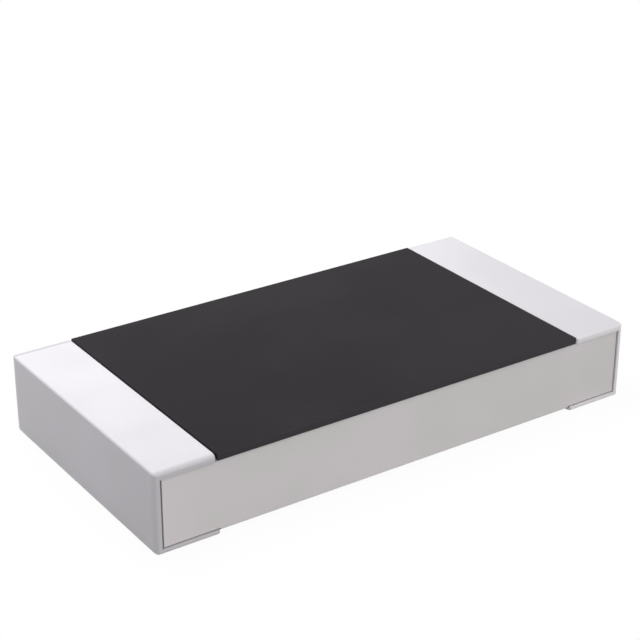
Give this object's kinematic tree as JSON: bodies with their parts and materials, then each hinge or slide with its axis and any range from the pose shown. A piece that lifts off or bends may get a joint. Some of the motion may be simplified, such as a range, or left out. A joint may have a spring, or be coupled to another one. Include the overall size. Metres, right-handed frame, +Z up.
{
  "type": "smd chip resistor",
  "caption": "Flat ceramic block with a black coat on top and tin plated terminations that wrap round both ends onto short bands above and below.",
  "frame": {"origin": "middle of the footprint, in the plane of the two solder faces underneath", "axes": "+X along the length from the left end to the right one, +Y across the width, +Z up through the coated face"},
  "size_m": [0.0032, 0.0016, 0.0005],
  "materials": {
    "alumina": "matte as-fired white alumina",
    "black_coat": "satin black screen-printed coat",
    "tin": "matte electroplated tin",
    "nickel": "satin electroplated nickel",
    "silver": "fired thick-film silver",
    "resistive_film": "fired ruthenium oxide glaze",
    "undercoat_glass": "glossy dark green fired glass"
  },
  "bodies": {
    "root": {"ceramic_substrate": "alumina", "protective_overcoat": "black_coat", "glass_undercoat": "undercoat_glass", "resistive_film": "resistive_film", "top_inner_electrode_left": "silver", "top_inner_electrode_right": "silver", "bottom_inner_electrode_left": "silver", "bottom_inner_electrode_right": "silver", "edge_electrode_left": "silver", "edge_electrode_right": "silver", "nickel_barrier_left": "nickel", "nickel_barrier_right": "nickel", "tin_plating_left": "tin", "tin_plating_right": "tin"}
  },
  "joints": []
}
